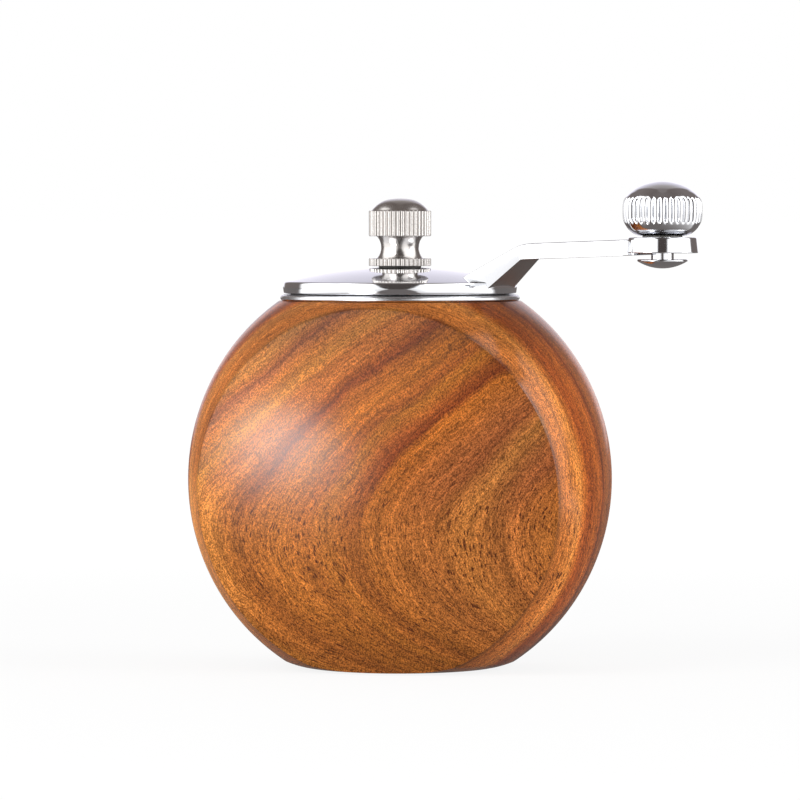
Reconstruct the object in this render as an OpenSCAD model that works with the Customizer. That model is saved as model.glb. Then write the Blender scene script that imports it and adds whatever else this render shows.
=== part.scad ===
// Hand-cranked ball mill: a turned wooden ball with two nearly flat cheeks, a cast crank lid,
// a knurled adjusting finial and a conical ceramic burr set that grinds out of the base.
// Millimetres, +Z up. The origin is the centre of the base, on the turning axis.
// The cheeks face -Y and +Y.

/* [Wooden ball] */
// Widest diameter of the ball
body_d = 90; // [84:1:100]
// Height of the wood, from the base to the seat of the collar
body_h = 77.8; // [74:0.2:84]
// Height above the base at which the ball reaches its full width
belly_z = 39.1; // [37:0.1:41]
// Height of the straight band round the ball's middle
belly_h = 1.8; // [0.4:0.1:4]
// Distance from the axis to the edge plane of each cheek, at the widest height
cheek_half = 23.4; // [22.5:0.1:26]
// Radius to which each cheek is slightly domed
cheek_crown_r = 260; // [160:10:600]
// Angle by which each cheek leans out towards the top, in degrees
cheek_lean = 6.5; // [5:0.5:8]
// Diameter of the hopper that is bored down the middle
hopper_d = 34; // [30:0.5:35]
// Height of the funnel between the hopper and the burr housing
funnel_h = 4; // [2:0.5:8]

/* [Collar] */
// Outside diameter of the collar
collar_d = 50.8; // [48:0.2:52]
// Thickness of the collar's flange
collar_t = 1.3; // [1:0.1:2]
// Outside diameter of the skirt that is pressed into the wood
skirt_d = 39.6; // [38:0.2:42]
// Wall of the skirt
skirt_wall = 1.1; // [0.8:0.1:1.6]
// Depth of the skirt below the flange
skirt_h = 6; // [4:0.5:9]
// Thickness of the glide ring that the lid turns on
glide_t = 0.2; // [0.2:0.05:0.6]
// Radial width of the glide ring
glide_w = 2.6; // [1.5:0.1:3.5]

/* [Crank lid] */
// Outside diameter of the lid
lid_d = 49.6; // [48.4:0.2:50.6]
// Height of the crown above the lid's underside
lid_h = 5.65; // [5:0.05:7]
// Radius of the domed top
crown_r = 98; // [80:1:130]
// Radius of the bulge round the rim
rim_bulge_r = 2.5; // [2:0.1:4]
// Wall of the domed shell
lid_wall = 1.8; // [1.2:0.1:2.4]
// Diameter of the flat on the crown, under the finial
seat_d = 10; // [9.4:0.1:12]
// Depth of that flat
seat_depth = 0.22; // [0.15:0.01:0.4]
// Diameter of the hub round the square hole
hub_d = 11; // [9:0.2:13]
// Depth of the hub below the lid's underside
hub_drop = 2.6; // [1:0.1:4]
// Depth of the register that centres the lid in the collar
register_drop = 3; // [2:0.1:5]
// Wall of the register
register_wall = 1.5; // [1:0.1:2]

/* [Crank arm] */
// Distance from the turning axis to the knob's axis
crank_r = 61.7; // [56:0.5:70]
// Direction of the arm at rest, in degrees from +X
crank_rest = -16.2; // [-180:0.1:180]
// Width of the arm where it leaves the rim
arm_root_w = 14; // [12:0.5:16]
// Width of the arm from its bend to the knob
arm_w = 8.4; // [7:0.2:10]
// Thickness of the arm
arm_t = 3.3; // [2.6:0.05:4]
// Distance from the axis to the arm's bend
bend_r = 31; // [29.5:0.5:35]
// Height of the arm's top at its bend, above the lid's underside
bend_up = 10.7; // [9.6:0.1:12]
// Rise of the arm from its bend to the knob
arm_rise = 1.2; // [0:0.1:2]
// Radius of the upper side of the bend
bend_round = 7; // [4:0.5:10]
// Diameter of the boss under the knob, at its top
boss_d = 14.2; // [12.6:0.2:16]
// Thickness of the boss
boss_t = 3.25; // [2.8:0.05:4]
// Height of the boss's top above the arm's
boss_up = 0.2; // [0.1:0.05:0.5]
// Extra diameter of the boss at its bottom
boss_draft = 0.6; // [0.1:0.1:1]

/* [Finial] */
// Diameter over the knurls
finial_d = 13.2; // [12:0.2:15]
// Thickness of the lower knurled disc
finial_disc_t = 1.6; // [1.2:0.1:2.4]
// Height of the waist between the disc and the head
waist_h = 4.7; // [3.6:0.1:6]
// Smallest diameter of the waist
waist_d = 8; // [7:0.1:9]
// Radius of the hollow of the waist
waist_r = 3.5; // [3:0.1:5]
// Height of the knurled head
finial_head_h = 5.4; // [4:0.1:7]
// Height of the finial's dome
finial_dome_h = 2.6; // [2:0.1:3.5]
// Number of knurls round the finial
finial_knurls = 42; // [30:1:48]
// Depth of the finial's knurls
finial_knurl_depth = 0.3; // [0.15:0.05:0.4]
// Diameter of the washer under the finial
finial_washer_d = 9; // [8:0.2:9.6]
// Thickness of that washer
finial_washer_t = 0.35; // [0.25:0.05:0.6]

/* [Knob] */
// Diameter over the knob's flutes
knob_d = 16.5; // [15:0.5:20]
// Height of the knob
knob_h = 11.2; // [10:0.2:14]
// Height of the fluted band's lower edge above the knob's foot
band_z = 2.6; // [2:0.1:3.5]
// Height of the fluted band
band_h = 5.2; // [4:0.2:6]
// Radius of the turned round under the band
knob_round = 4; // [3:0.1:5]
// Radius of the knob's dome
dome_r = 10.2; // [9:0.1:14]
// Number of flutes round the knob
knob_flutes = 38; // [28:1:44]
// Depth of the flutes
flute_depth = 0.5; // [0.3:0.05:0.6]
// Thickness of the washer under the knob
knob_washer_t = 0.3; // [0.2:0.05:0.6]
// Diameter of the shoulder of the knob's screw
shoulder_d = 4.7; // [4:0.1:5.5]
// Diameter of the screw's head
screw_head_d = 10.5; // [9:0.5:12]
// Thickness of the screw's domed head
screw_head_t = 1.9; // [1.4:0.1:2.6]
// Bare length of shoulder between the boss and the head
shoulder_play = 1.3; // [0.4:0.1:2]
// Length of the screw's thread in the knob
knob_thread_l = 6; // [4:0.5:7]

/* [Drive] */
// Side of the square shaft
shaft_w = 4.4; // [4:0.1:4.8]
// Diameter of the threaded stud on the shaft's top
stud_d = 4; // [3.4:0.1:4.4]
// Length of the stud inside the finial
stud_l = 9; // [6:0.5:10]
// Wall of the sleeve that drives the bearing
sleeve_wall = 0.9; // [0.7:0.1:1.2]
// Thickness of the sleeve's flange
flange_t = 1; // [0.8:0.1:1.4]
// Width of the flange round the sleeve
flange_w = 1.2; // [0.9:0.1:1.4]
// Length of the spring between the sleeve and the burr cone
spring_l = 6.6; // [5:0.2:9]
// Thickness of the spring's wire
wire_d = 0.8; // [0.6:0.1:1]
// Turns of the spring
spring_turns = 5; // [4:1:6]

/* [Burrs] */
// Outside diameter of the burr ring
ring_d = 23.4; // [22:0.2:24]
// Height of the burr ring
ring_h = 10; // [9:0.5:12]
// Height of the fine teeth, from the bottom of the ring
fine_h = 5; // [4:0.5:6]
// Radius of the ring's mouth at the bottom
fine_r = 10; // [9.6:0.1:10.4]
// Narrowing of that radius for each millimetre of height
fine_slope = 0.4; // [0.3:0.02:0.45]
// Radius of the ring's mouth at the top
feed_r = 10.8; // [10:0.1:11]
// Gap between the cone and the ring at rest
burr_gap = 0.55; // [0.5:0.01:0.8]
// Radius of the cone's top
cone_top_r = 5.6; // [5.4:0.1:6.4]
// Number of fine teeth
fine_teeth = 24; // [16:1:26]
// Depth of the fine teeth
fine_depth = 0.7; // [0.4:0.1:0.9]
// Number of feed flutes on the cone
feed_flutes = 6; // [4:1:7]
// Depth of the feed flutes
feed_depth = 1.3; // [0.8:0.1:1.4]
// Slant of the teeth, in degrees
tooth_slant = 24; // [10:1:30]

/* [Burr housing and base] */
// Wall of the housing round the burr ring
housing_wall = 1.5; // [1.2:0.1:1.8]
// Height of the bridge that carries the bearing
bridge_h = 4.2; // [3:0.2:6]
// Wall of the bearing bush
bush_wall = 0.9; // [0.7:0.1:1.2]
// Wall of the bridge's hub round the bush
bridge_hub_wall = 1.2; // [1:0.1:1.6]
// Width of each arm of the bridge
bridge_arm_w = 2.4; // [1.6:0.2:3.2]
// Number of arms of the bridge
bridge_arms = 3; // [2:1:4]
// Thickness of the housing's flange
housing_flange_t = 1.2; // [1:0.1:2]
// Width of that flange round the housing
housing_flange_w = 1.4; // [1.2:0.1:1.6]
// Thickness of the base plate
plate_t = 1.2; // [1:0.1:1.8]
// Depth of the base plate's face above the base
plate_up = 0.6; // [0.4:0.1:1.2]
// Diameter of the base screws' shank
base_screw_d = 2.5; // [2:0.1:2.6]
// Length of the base screws' shank in the wood
base_screw_l = 8; // [6:0.5:12]
// Diameter of the base screws' countersunk head
base_head_d = 4.4; // [4:0.1:4.6]
// Distance from the axis to each base screw
base_screw_r = 15.7; // [15.6:0.1:16]
// Radius of the ears that take the base screws
ear_r = 2.8; // [2.6:0.1:3]
// Diameter of the cone screw's shank
cone_screw_d = 3; // [2.5:0.1:3]
// Length of that shank in the shaft
cone_screw_l = 7; // [5:0.5:10]
// Diameter of the cone screw's head
cone_head_d = 5.6; // [5:0.1:6]
// Thickness of the cone screw's head
cone_head_t = 1.1; // [0.8:0.1:1.2]
// Thickness of the washer under the burr cone
cone_washer_t = 0.7; // [0.5:0.1:1]
// Diameter of that washer
cone_washer_d = 11; // [10:0.5:13]
// Height of the burr cone's foot above the base
cone_up = 3; // [2.9:0.1:3.3]

/* [Clearances] */
// Gap round a piece that is pressed or glued in
press_gap = 0.05; // [0.03:0.01:0.08]
// Gap round a piece that turns or slides in another
run_gap = 0.08; // [0.05:0.01:0.1]
// Gap between the lid and the collar that centres it
register_gap = 0.3; // [0.25:0.05:0.5]
// End float between faces that turn on each other
end_gap = 0.05; // [0.03:0.01:0.1]

/* [Hidden] */
$fn = 96;
cut = 1;               // how far a cutting solid runs past the face that it opens
fine = 32;             // faces of the small rounds

// Heights, from the base upwards
collar_z = body_h;
glide_z = collar_z + collar_t;
lid_z = glide_z + glide_t + end_gap;                  // underside of the lid
crown_z = lid_z + lid_h;                              // top of the dome, if it had no flat
seat_z = crown_z - seat_depth;                        // the finial's seat
finial_z = seat_z + finial_washer_t + end_gap;
plate_z = plate_up;
flange_z = plate_z + plate_t;                         // housing flange, and foot of the burr ring
bore_z = flange_z + housing_flange_t;                 // where the housing's own bore in the wood starts
ring_top_z = flange_z + ring_h;
cone_h = ring_top_z - cone_up + 0.2;
core_flange_z = cone_up + cone_h;
spring_z = core_flange_z + flange_t;
sleeve_z = spring_z + spring_l;                       // underside of the sleeve's flange
bridge_z = sleeve_z + flange_t + end_gap * 4;
housing_top_z = bridge_z + bridge_h;
hopper_z = housing_top_z + press_gap;                 // foot of the funnel
boss_z = lid_z + bend_up + arm_rise + boss_up - boss_t;   // underside of the boss
knob_washer_z = boss_z + boss_t + end_gap;
knob_z = knob_washer_z + knob_washer_t;
screw_head_z = boss_z - shoulder_play;                // upper face of the screw's head

// Radii
cone_fine_r = fine_r - fine_slope * (cone_up - flange_z) - burr_gap;
cone_mid_r = fine_r - fine_slope * fine_h - burr_gap;
ring_mid_r = fine_r - fine_slope * fine_h;
housing_r = ring_d / 2 + press_gap + housing_wall;
flange_r = housing_r + housing_flange_w;
sleeve_hole = shaft_w + 2 * run_gap;                  // side of a square hole that the shaft slides in
sleeve_r = sleeve_hole / sqrt(2) + sleeve_wall;
sleeve_flange_r = sleeve_r + flange_w;
bush_r = sleeve_r + run_gap + bush_wall;
bridge_hub_r = bush_r + press_gap + bridge_hub_wall;
core_r = (shaft_w + 2 * press_gap) / sqrt(2) + 0.9;
core_flange_r = core_r + 0.9;
spring_r = (sleeve_hole / sqrt(2) + sleeve_flange_r) / 2;
register_r = skirt_d / 2 - skirt_wall - register_gap;
stud_top_z = finial_z + stud_l;
square_top_z = lid_z + lid_h / 2;                     // where the shaft's square gives way to the stud
finial_head_z = finial_z + finial_disc_t + waist_h;
finial_top_z = finial_head_z + finial_head_h;
finial_bore_z = stud_top_z + 1.2;
knob_at = [crank_r * cos(crank_rest), crank_r * sin(crank_rest), 0];

// Points of an arc round c, from angle a0 to a1
function arc(c, r, a0, a1, n) =
    [for (i = [0:n]) let (a = a0 + (a1 - a0) * i / n) c + r * [cos(a), sin(a)]];

// A turned ring or disc: radii r0 to r1, heights z0 to z1, as a section
module band(r0, r1, z0, z1) {
    translate([r0, z0]) square([r1 - r0, z1 - z0]);
}

// Places its children at each base screw
module at_base_screws() {
    for (side = [-1, 1]) translate([side * base_screw_r, 0, 0]) children();
}

// A disc with an ear over each base screw
module eared_disc(r, ear, h) {
    cylinder(r = r, h = h);
    at_base_screws() cylinder(r = ear, h = h);
    translate([-base_screw_r, -ear, 0]) cube([2 * base_screw_r, 2 * ear, h]);
}

// A V cutter along +Z, its edge turned to -X, for knurls and teeth
module v_cutter(depth, half_w, length) {
    linear_extrude(length) polygon([[-depth, 0], [depth, 2 * half_w], [depth, -2 * half_w]]);
}

// ---- Wooden ball ----

// Half section of the ball: two arcs with a short straight band between them
module ball_section() {
    r = body_d / 2;
    intersection() {
        translate([0, belly_z]) circle(r);
        band(0, r, 0, belly_z);
    }
    band(0, r, belly_z, belly_z + belly_h);
    intersection() {
        translate([0, belly_z + belly_h]) circle(r);
        band(0, r, belly_z + belly_h, body_h);
    }
    band(0, collar_d / 4, 0, body_h);
}

// The large sphere that each cheek is a part of: its edge on the ball lies in the cheek's plane
module cheek_sphere(side) {
    plane = cheek_half * cos(cheek_lean);
    edge_r = sqrt(body_d * body_d / 4 - plane * plane);
    back = sqrt(cheek_crown_r * cheek_crown_r - edge_r * edge_r) - plane;
    translate([0, 0, belly_z + belly_h / 2]) rotate([0, 0, side * 90]) rotate([0, cheek_lean, 0])
        translate([-back, 0, 0]) rotate([0, 0, 180]) sphere(cheek_crown_r, $fn = 360);
}

module wood_body() {
    color("peru") difference() {
        intersection() {
            rotate_extrude() ball_section();
            cheek_sphere(-1);
            cheek_sphere(1);
        }
        // hopper, funnel and the bore of the burr housing
        translate([0, 0, hopper_z + funnel_h]) cylinder(d = hopper_d, h = body_h);
        translate([0, 0, hopper_z])
            cylinder(r1 = housing_r + press_gap, r2 = hopper_d / 2, h = funnel_h);
        cylinder(r = housing_r + press_gap, h = hopper_z + cut / 10);
        translate([0, 0, body_h - skirt_h - press_gap])
            cylinder(r = skirt_d / 2 + press_gap, h = skirt_h + cut);
        // recess for the housing's flange and the base plate
        translate([0, 0, -cut])
            eared_disc(flange_r + press_gap, ear_r + press_gap, bore_z + press_gap + cut);
        translate([0, 0, bore_z])
            at_base_screws() cylinder(d = base_screw_d + 2 * press_gap, h = base_screw_l + press_gap, $fn = fine);
    }
}

// ---- Collar, pressed into the wood ----

module collar_ring() {
    inner = skirt_d / 2 - skirt_wall;
    color("gainsboro") rotate_extrude() {
        band(inner, collar_d / 2 - collar_t / 2, collar_z, glide_z);
        translate([collar_d / 2 - collar_t / 2, collar_z + collar_t / 2]) circle(d = collar_t, $fn = fine);
        band(inner, skirt_d / 2, collar_z - skirt_h, collar_z);
    }
}

module glide_ring() {
    middle = (register_r + collar_d / 2) / 2;
    color("black") rotate_extrude()
        band(middle - glide_w / 2, middle + glide_w / 2, glide_z, glide_z + glide_t);
}

// ---- Burr housing, with the bridge that carries the bearing ----

module burr_housing() {
    color("dimgray") difference() {
        union() {
            cylinder(r = housing_r, h = housing_top_z);
            translate([0, 0, flange_z]) eared_disc(flange_r, ear_r, housing_flange_t);
        }
        // seat of the burr ring, and the open throat above it
        translate([0, 0, -cut]) cylinder(d = ring_d + 2 * press_gap, h = ring_top_z + press_gap + cut);
        translate([0, 0, -cut]) cylinder(r = body_d, h = flange_z + cut);
        translate([0, 0, ring_top_z]) cylinder(r = feed_r + 0.3, h = bridge_z - ring_top_z);
        translate([0, 0, bridge_z - cut / 10]) difference() {
            cylinder(r = feed_r + 0.3, h = bridge_h + cut);
            cylinder(r = bridge_hub_r, h = bridge_h + cut);
            for (i = [0:bridge_arms - 1]) rotate([0, 0, 90 + i * 360 / bridge_arms])
                translate([0, -bridge_arm_w / 2, 0]) cube([housing_r, bridge_arm_w, bridge_h + cut]);
        }
        translate([0, 0, bridge_z - cut]) cylinder(r = bush_r + press_gap, h = bridge_h + 2 * cut);
        translate([0, 0, -cut]) at_base_screws()
            cylinder(d = base_screw_d + 4 * press_gap, h = bore_z + 2 * cut, $fn = fine);
    }
}

module bearing_bush() {
    color("goldenrod") rotate_extrude() band(sleeve_r + run_gap, bush_r, bridge_z, housing_top_z);
}

// ---- Burr ring: an hourglass bore with teeth cut up its two cones ----

module burr_ring() {
    color("ivory") difference() {
        translate([0, 0, flange_z]) cylinder(d = ring_d, h = ring_h);
        translate([0, 0, flange_z]) cylinder(r1 = fine_r, r2 = ring_mid_r, h = fine_h);
        translate([0, 0, flange_z + fine_h]) cylinder(r1 = ring_mid_r, r2 = feed_r, h = ring_h - fine_h);
        for (i = [0:fine_teeth - 1]) rotate([0, 0, i * 360 / fine_teeth])
            translate([fine_r, 0, flange_z]) rotate([0, -atan(fine_slope), 0]) rotate([-tooth_slant, 0, 0])
                translate([0, 0, -2 * cut]) mirror([1, 0, 0]) v_cutter(fine_depth, 0.5, fine_h + cut);
    }
}

// ---- Base plate and its screws ----

module base_plate() {
    color("silver") translate([0, 0, plate_z]) difference() {
        eared_disc(flange_r, ear_r, plate_t);
        translate([0, 0, -cut]) cylinder(r = fine_r + 0.4, h = plate_t + 2 * cut);
        at_base_screws() {
            translate([0, 0, -cut]) cylinder(d = base_screw_d + 4 * press_gap, h = plate_t + 2 * cut, $fn = fine);
            translate([0, 0, -press_gap]) cylinder(d1 = base_head_d + 2 * press_gap,
                d2 = base_screw_d + 2 * press_gap, h = plate_t * 0.8, $fn = fine);
        }
    }
}

module base_screws() {
    head_h = plate_t * 0.8 - 2 * press_gap;
    color("gray") at_base_screws() difference() {
        union() {
            translate([0, 0, plate_z]) cylinder(d1 = base_head_d, d2 = base_screw_d, h = head_h, $fn = fine);
            translate([0, 0, plate_z + head_h / 2])
                cylinder(d = base_screw_d, h = bore_z + base_screw_l - plate_z - head_h / 2, $fn = fine);
        }
        for (turn = [0, 90]) rotate([0, 0, turn])
            translate([-base_head_d / 3, -0.25, plate_z - cut]) cube([base_head_d / 1.5, 0.5, cut + head_h * 0.7]);
    }
}

// ---- Drive: sleeve, spring, shaft and burr cone ----

module square_hole(side, z0, z1) {
    translate([-side / 2, -side / 2, z0]) cube([side, side, z1 - z0]);
}

module drive_sleeve() {
    color("darkkhaki") rotate([0, 0, crank_rest]) difference() {
        rotate_extrude() {
            band(0, sleeve_flange_r, sleeve_z, sleeve_z + flange_t);
            band(0, sleeve_r, sleeve_z, housing_top_z + 0.4);
        }
        square_hole(sleeve_hole, sleeve_z - cut, housing_top_z + 2 * cut);
    }
}

module burr_spring() {
    rings_a_turn = 16;
    sides = 8;
    rings = rings_a_turn * spring_turns;
    climb = spring_l - wire_d - 2 * end_gap;
    // dead coils at each end: the wire climbs only over the middle turns
    function rise(t) = climb * min(1, max(0, (t * spring_turns - 0.75) / (spring_turns - 1.5)));
    function ring_at(i) = let (t = i / rings, a = t * spring_turns * 360)
        [for (s = [0:sides - 1]) let (b = s * 360 / sides, r = spring_r + wire_d / 2 * cos(b))
            [r * cos(a), r * sin(a), spring_z + end_gap + wire_d / 2 + rise(t) + wire_d / 2 * sin(b)]];
    points = [for (i = [0:rings]) each ring_at(i)];
    walls = [for (i = [0:rings - 1], s = [0:sides - 1]) let (n = (s + 1) % sides, p = i * sides, q = p + sides)
        each [[p + s, q + s, q + n], [p + s, q + n, p + n]]];
    ends = [[for (s = [0:sides - 1]) s], [for (s = [sides - 1:-1:0]) rings * sides + s]];
    color("silver") polyhedron(points, concat(walls, ends), convexity = 8);
}

module drive_shaft() {
    color("lightsteelblue") rotate([0, 0, crank_rest]) difference() {
        union() {
            square_hole(shaft_w, cone_up, square_top_z);
            translate([0, 0, cone_up + 1]) cylinder(d = stud_d, h = stud_top_z - cone_up - 1, $fn = fine);
        }
        translate([0, 0, cone_up - cut])
            cylinder(d = cone_screw_d + 2 * press_gap, h = cone_screw_l + cut + press_gap, $fn = fine);
    }
}

module cone_core() {
    color("black") rotate([0, 0, crank_rest]) difference() {
        rotate_extrude() {
            band(0, core_r, cone_up, core_flange_z + cut / 2);
            band(0, core_flange_r, core_flange_z, spring_z);
        }
        square_hole(shaft_w + 2 * press_gap, cone_up - cut, spring_z + cut);
    }
}

module burr_cone() {
    feed_h = cone_h - (flange_z + fine_h - cone_up);
    mid_z = flange_z + fine_h;
    slope = (cone_mid_r - cone_top_r) / feed_h;
    color("ivory") difference() {
        union() {
            translate([0, 0, cone_up]) cylinder(r1 = cone_fine_r, r2 = cone_mid_r, h = mid_z - cone_up);
            translate([0, 0, mid_z]) cylinder(r1 = cone_mid_r, r2 = cone_top_r, h = feed_h);
        }
        translate([0, 0, cone_up - cut]) cylinder(r = core_r + press_gap, h = cone_h + 2 * cut);
        for (i = [0:fine_teeth - 1]) rotate([0, 0, i * 360 / fine_teeth])
            translate([cone_fine_r, 0, cone_up]) rotate([0, -atan(fine_slope), 0]) rotate([tooth_slant, 0, 0])
                translate([0, 0, -2 * cut]) v_cutter(fine_depth, 0.5, fine_h + cut);
        for (i = [0:feed_flutes - 1]) rotate([0, 0, i * 360 / feed_flutes])
            translate([cone_mid_r, 0, mid_z]) rotate([0, -atan(slope), 0]) rotate([tooth_slant * 1.4, 0, 0])
                translate([0, 0, -cut]) v_cutter(feed_depth, 1.1, feed_h + 4 * cut);
    }
}

module cone_washer() {
    color("silver") translate([0, 0, cone_up - cone_washer_t]) difference() {
        cylinder(d = cone_washer_d, h = cone_washer_t);
        translate([0, 0, -cut]) cylinder(d = cone_screw_d + 4 * press_gap, h = cone_washer_t + 2 * cut, $fn = fine);
    }
}

module cone_screw() {
    head_z = cone_up - cone_washer_t - cone_head_t;
    color("gray") difference() {
        union() {
            translate([0, 0, head_z]) cylinder(d = cone_head_d, h = cone_head_t);
            translate([0, 0, head_z]) cylinder(d = cone_screw_d, h = cone_up + cone_screw_l - head_z, $fn = fine);
        }
        for (turn = [0, 90]) rotate([0, 0, turn])
            translate([-cone_head_d / 3, -0.3, head_z - cut]) cube([cone_head_d / 1.5, 0.6, cut + cone_head_t * 0.6]);
    }
}

// ---- Crank lid: the domed lid, its arm and the boss, cast in one ----

module lid_section() {
    crown = [0, crown_z - crown_r];
    edge_z = crown_z - crown_r + sqrt(crown_r * crown_r - lid_d * lid_d / 4);
    intersection() {
        translate(crown) circle(crown_r, $fn = 720);
        union() {
            band(0, lid_d / 2 - rim_bulge_r, lid_z, seat_z);
            translate([lid_d / 2 - rim_bulge_r, (lid_z + edge_z) / 2]) intersection() {
                circle(rim_bulge_r);
                band(0, rim_bulge_r, -(edge_z - lid_z) / 2, rim_bulge_r);
            }
        }
    }
    band(register_r - register_wall, register_r, lid_z - register_drop, lid_z);
    band(0, hub_d / 2, lid_z - hub_drop, lid_z);
}

// The hollow between the hub and the register
module lid_hollow_section() {
    intersection() {
        translate([0, crown_z - crown_r]) circle(crown_r - lid_wall, $fn = 720);
        band(hub_d / 2, register_r - register_wall, lid_z - register_drop - cut, crown_z);
    }
}

// Side view of the arm: up the slope from the rim, round the bend and out to the boss
module arm_side() {
    bend_z = lid_z + bend_up;
    rise_a = atan(arm_rise / (crank_r - bend_r));
    slope_a = 30;
    turn = slope_a - rise_a;
    reach = bend_round * tan(turn / 2);
    centre = [bend_r - reach * cos(slope_a) + bend_round * sin(slope_a),
              bend_z - reach * sin(slope_a) - bend_round * cos(slope_a)];
    root_r = bend_r - (bend_z - lid_z - 2.5) / tan(slope_a);
    end_r = crank_r - boss_d / 4;
    polygon(concat(
        [[root_r, lid_z + 2.5]],
        arc(centre, bend_round, 90 + slope_a, 90 + rise_a, 6),
        [[end_r, bend_z + arm_rise], [end_r, bend_z + arm_rise - arm_t],
         [bend_r, bend_z - arm_t], [lid_d / 2 - 0.9, lid_z + 1.1], [root_r, lid_z + 1.1]]));
}

// Outline of the arm from above, from its wide root to the boss
module arm_plan() {
    root = lid_d / 2;
    flare = (arm_root_w - arm_w) / 2 / (bend_r - root + 1);
    inner = arm_root_w / 2 + flare * 4;
    polygon([[root - 10, -inner], [root - 5, -inner], [root - 1, -arm_root_w / 2], [bend_r, -arm_w / 2],
        [crank_r, -arm_w / 2], [crank_r, arm_w / 2], [bend_r, arm_w / 2], [root - 1, arm_root_w / 2],
        [root - 5, inner], [root - 10, inner]]);
}

module crank_lid() {
    color("silver") rotate([0, 0, crank_rest]) difference() {
        union() {
            difference() {
                rotate_extrude() lid_section();
                rotate_extrude() lid_hollow_section();
            }
            intersection() {
                translate([0, 0, lid_z]) linear_extrude(bend_up + arm_rise + cut) arm_plan();
                translate([0, arm_root_w, 0]) rotate([90, 0, 0]) linear_extrude(2 * arm_root_w) arm_side();
            }
            translate([crank_r, 0, boss_z]) cylinder(d1 = boss_d + boss_draft, d2 = boss_d, h = boss_t);
        }
        square_hole(sleeve_hole, lid_z - hub_drop - cut, crown_z + cut);
        translate([crank_r, 0, boss_z - cut]) cylinder(d = shoulder_d + 2 * run_gap, h = boss_t + 2 * cut);
    }
}

// ---- Finial: the knurled nut that holds the lid and sets the grind ----

module finial_washer() {
    color("black") translate([0, 0, seat_z]) difference() {
        cylinder(d = finial_washer_d, h = finial_washer_t);
        translate([0, 0, -cut]) cylinder(d = stud_d + 4 * run_gap, h = finial_washer_t + 2 * cut, $fn = fine);
    }
}

module finial_section() {
    r = finial_d / 2;
    waist_mid = finial_z + finial_disc_t + waist_h / 2;
    dome_foot = r - 0.5;
    dome_R = (dome_foot * dome_foot + finial_dome_h * finial_dome_h) / 2 / finial_dome_h;
    band(0, r, finial_z, finial_z + finial_disc_t);
    difference() {
        band(0, r - 1, finial_z + finial_disc_t, finial_head_z);
        translate([waist_d / 2 + waist_r, waist_mid]) circle(waist_r);
        band(waist_d / 2 + waist_r, r, finial_z, finial_head_z);
    }
    band(0, r, finial_head_z, finial_top_z - 0.2);
    polygon([[0, finial_top_z - 0.2], [r, finial_top_z - 0.2], [dome_foot, finial_top_z], [0, finial_top_z]]);
    intersection() {
        translate([0, finial_top_z + finial_dome_h - dome_R]) circle(dome_R);
        band(0, r, finial_top_z, finial_top_z + finial_dome_h);
    }
}

module finial() {
    color("silver") difference() {
        rotate_extrude() finial_section();
        for (i = [0:finial_knurls - 1]) rotate([0, 0, i * 360 / finial_knurls]) {
            translate([finial_d / 2, 0, finial_z - cut])
                v_cutter(finial_knurl_depth, finial_knurl_depth * 0.75, finial_disc_t + 2 * cut);
            translate([finial_d / 2, 0, finial_head_z - cut])
                v_cutter(finial_knurl_depth, finial_knurl_depth * 0.75, finial_head_h + 2 * cut);
        }
        translate([0, 0, finial_z - cut]) cylinder(d = stud_d + 2 * run_gap, h = finial_bore_z - finial_z + cut, $fn = fine);
    }
}

// ---- Knob, its washer and its shoulder screw ----

module knob_section() {
    r = knob_d / 2;
    low = knob_z + band_z;
    high = low + band_h;
    round_x = r - 0.4 - knob_round * cos(asin((knob_round - band_z) / knob_round));
    band(0, round_x, knob_z, low);
    intersection() {
        translate([round_x, knob_z + knob_round]) circle(knob_round);
        band(round_x, r, knob_z, low);
    }
    intersection() {
        translate([0, knob_z + knob_h - dome_r]) circle(dome_r);
        band(0, r, high, knob_z + knob_h);
    }
    band(0, r, low, high);
}

module knob() {
    color("silver") translate(knob_at) difference() {
        rotate_extrude() knob_section();
        for (i = [0:knob_flutes - 1]) rotate([0, 0, i * 360 / knob_flutes])
            translate([knob_d / 2, 0, knob_z]) v_cutter(flute_depth, flute_depth * 0.55, knob_h);
        translate([0, 0, knob_z - cut])
            cylinder(d = stud_d + 2 * press_gap, h = knob_thread_l + cut + 0.5, $fn = fine);
    }
}

module knob_washer() {
    color("black") translate(knob_at) translate([0, 0, knob_washer_z]) difference() {
        cylinder(d = shoulder_d + 3.6, h = knob_washer_t);
        translate([0, 0, -cut]) cylinder(d = shoulder_d + 2 * press_gap, h = knob_washer_t + 2 * cut);
    }
}

module knob_screw() {
    rim = 0.5;
    sink = screw_head_t - rim;
    head_R = (screw_head_d * screw_head_d / 4 + sink * sink) / 2 / sink;
    color("silver") translate(knob_at) {
        rotate_extrude() {
            band(0, screw_head_d / 2, screw_head_z - rim, screw_head_z);
            intersection() {
                translate([0, screw_head_z - screw_head_t + head_R]) circle(head_R);
                band(0, screw_head_d / 2, screw_head_z - screw_head_t, screw_head_z - rim);
            }
            band(0, shoulder_d / 2, screw_head_z, knob_z);
            band(0, stud_d / 2, knob_z, knob_z + knob_thread_l);
        }
    }
}

wood_body();
collar_ring();
glide_ring();
burr_housing();
bearing_bush();
burr_ring();
base_plate();
base_screws();
drive_sleeve();
burr_spring();
drive_shaft();
cone_core();
burr_cone();
cone_washer();
cone_screw();
crank_lid();
finial_washer();
finial();
knob();
knob_washer();
knob_screw();
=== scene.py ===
# %% [markdown]
# # A hand-cranked ball mill
# The mill is a turned acacia ball with two shallow domed cheeks. On it sit a chromed collar, a cast crank lid with a
# fluted knob, and a knurled finial. The exact solids are loaded first, and each visible piece is then made again with
# the small rounds, grain and polish that a solid model leaves out.

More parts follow.
